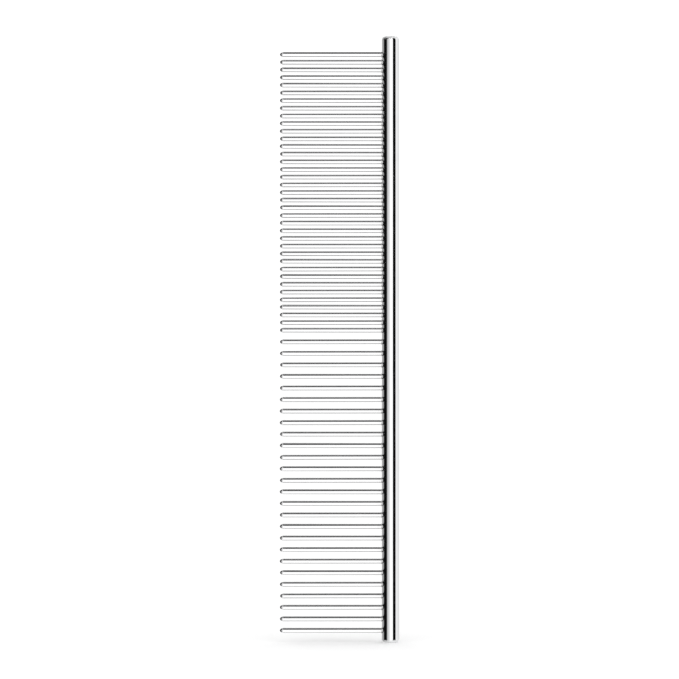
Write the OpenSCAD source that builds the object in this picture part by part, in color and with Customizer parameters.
// Two-density steel grooming comb: a round solid spine bar with a single row of
// round-tipped pins. Each pin is a separate length of wire seated in its own blind
// hole in the spine and soldered round its root.
//
// Frame, millimetres: the spine's axis is Z, its lower end face is centred on the
// origin, the pins point along -X and the comb lies in the XZ plane. The coarse
// bank is at the bottom, the fine bank above it.

/* [Spine] */
// Overall length of the spine bar
spine_len = 190; // [187:0.5:230]
// Diameter of the spine bar
spine_d = 5.5; // [4.6:0.1:8]
// Radius rolled onto the rim of each end
end_round = 1.2; // [0.6:0.1:1.8]

/* [Pins] */
// Diameter of the pin wire
pin_d = 1.5; // [1.2:0.05:1.6]
// Length of a pin outside the spine
pin_reach = 32; // [20:0.5:40]
// How far past the spine's axis the pin is seated
seat_past_axis = 1.0; // [0:0.1:1.2]
// Radius of the side curve that leads into the rounded tip
tip_curve_r = 1.5; // [1.2:0.1:3]
// Radius of the nose at the very tip
tip_nose_r = 0.45; // [0.3:0.05:0.5]
// Chamfer on the seated end of the wire
seat_chamfer = 0.12; // [0.05:0.01:0.2]

/* [Spacing] */
// Number of pins in the fine bank
fine_count = 37; // [2:1:37]
// Centre-to-centre spacing in the fine bank
fine_pitch = 2.4; // [2.4:0.05:2.45]
// Number of pins in the coarse bank
coarse_count = 26; // [2:1:26]
// Centre-to-centre spacing in the coarse bank, and of the step between the banks
coarse_pitch = 3.62; // [3.4:0.02:3.64]
// Height of the lowest pin above the lower end face
first_pin_z = 3.8; // [3.4:0.1:5]

/* [Root joint] */
// Height of the solder fillet along the pin
fillet_h = 0.56; // [0.3:0.02:0.8]
// Width of the solder fillet across the spine
fillet_w = 0.42; // [0.2:0.02:0.42]
// Point angle of the drill that made the seats
drill_point = 118; // [90:2:140]

/* [Hidden] */

spine_facets = 128;
wire_facets = 48;
rim_steps = 8;        // segments in each rolled rim
curve_steps = 6;      // segments in each pin and fillet curve

spine_r = spine_d / 2;
pin_r = pin_d / 2;

// Seats
drill_cone_h = pin_r / tan(drill_point / 2);
seat_overrun = 1;     // how far the hole's cutter stands out of the spine

// Pin tip: the nose circle touches the side curve from the inside
side_center_r = pin_r - tip_curve_r;    // side curve's centre, from the pin's axis
nose_h = sqrt(pow(tip_curve_r - tip_nose_r, 2) - pow(side_center_r, 2));
touch_angle = atan2(nose_h, -side_center_r);
straight_end = spine_r + pin_reach - nose_h - tip_nose_r;
nose_center = straight_end + nose_h;

// Solder fillet
fillet_lip = 0.03;    // thickness at the fillet's upper edge
fillet_drop = 0.12;   // how far the curve starts below the spine's crest
fillet_sink = 0.6;    // how far the uncut collar reaches below the crest
spine_cut_len = 6;    // length of spine cut out of the collar

// Heights of the pins in a bank
function bank(first_z, count, pitch) = [for (i = [0:count - 1]) first_z + i * pitch];
coarse_z = bank(first_pin_z, coarse_count, coarse_pitch);
fine_z = bank(first_pin_z + coarse_count * coarse_pitch, fine_count, fine_pitch);

// Points on an arc round [x, y]
function arc(x, y, radius, from, to, steps) =
    [for (i = [0:steps])
        let (angle = from + (to - from) * i / steps)
        [x + radius * cos(angle), y + radius * sin(angle)]];

// Puts a shape drawn along +Z onto the axis of each pin in a bank
module on_pin_axes(heights) {
    for (z = heights) translate([0, 0, z]) rotate([0, -90, 0]) children();
}

// One seat: a straight-sided drilled hole with the drill's cone at its floor
module seat_hole() {
    translate([0, 0, -seat_past_axis])
        cylinder(r = pin_r, h = seat_past_axis + spine_r + seat_overrun, $fn = wire_facets);
    translate([0, 0, -seat_past_axis - drill_cone_h])
        cylinder(r1 = 0, r2 = pin_r, h = drill_cone_h, $fn = wire_facets);
}

// Spine bar: a turned bar with rolled rims and one row of blind seats
module spine() {
    rim_center_r = spine_r - end_round;
    color("silver") difference() {
        rotate_extrude($fn = spine_facets) polygon(concat(
            [[0, 0]],
            arc(rim_center_r, end_round, end_round, -90, 0, rim_steps),
            arc(rim_center_r, spine_len - end_round, end_round, 0, 90, rim_steps),
            [[0, spine_len]]));
        on_pin_axes(concat(coarse_z, fine_z)) seat_hole();
    }
}

// One pin: straight wire, chamfered where it seats, with a rounded tip
module pin() {
    rotate_extrude($fn = wire_facets) polygon(concat(
        [[0, -seat_past_axis],
         [pin_r - seat_chamfer, -seat_past_axis],
         [pin_r, -seat_past_axis + seat_chamfer]],
        arc(side_center_r, straight_end, tip_curve_r, 0, touch_angle, curve_steps),
        // the nose starts after the shared touch point and ends exactly on the axis
        [for (i = [1:curve_steps])
            let (angle = touch_angle + (90 - touch_angle) * i / curve_steps)
            [i == curve_steps ? 0 : tip_nose_r * cos(angle),
             nose_center + tip_nose_r * sin(angle)]]));
}

// Solder fillet: a concave collar round the pin's root, sitting on the spine
module solder_fillet() {
    difference() {
        rotate_extrude($fn = wire_facets) polygon(concat(
            [[pin_r, spine_r - fillet_sink],
             [pin_r + fillet_w, spine_r - fillet_sink]],
            [for (i = [0:curve_steps])
                let (angle = 90 * i / curve_steps)
                [pin_r + fillet_lip + (fillet_w - fillet_lip) * (1 - sin(angle)),
                 spine_r - fillet_drop + (fillet_h + fillet_drop) * (1 - cos(angle))]],
            [[pin_r, spine_r + fillet_h]]));
        // the spine's own surface, lying across the pin
        rotate([0, 90, 0]) translate([0, 0, -spine_cut_len / 2])
            cylinder(r = spine_r, h = spine_cut_len, $fn = spine_facets);
    }
}

module fine_pins() { color("gainsboro") on_pin_axes(fine_z) pin(); }
module coarse_pins() { color("gainsboro") on_pin_axes(coarse_z) pin(); }
module fine_pin_solder() { color("darkgray") on_pin_axes(fine_z) solder_fillet(); }
module coarse_pin_solder() { color("darkgray") on_pin_axes(coarse_z) solder_fillet(); }

spine();
fine_pins();
coarse_pins();
fine_pin_solder();
coarse_pin_solder();
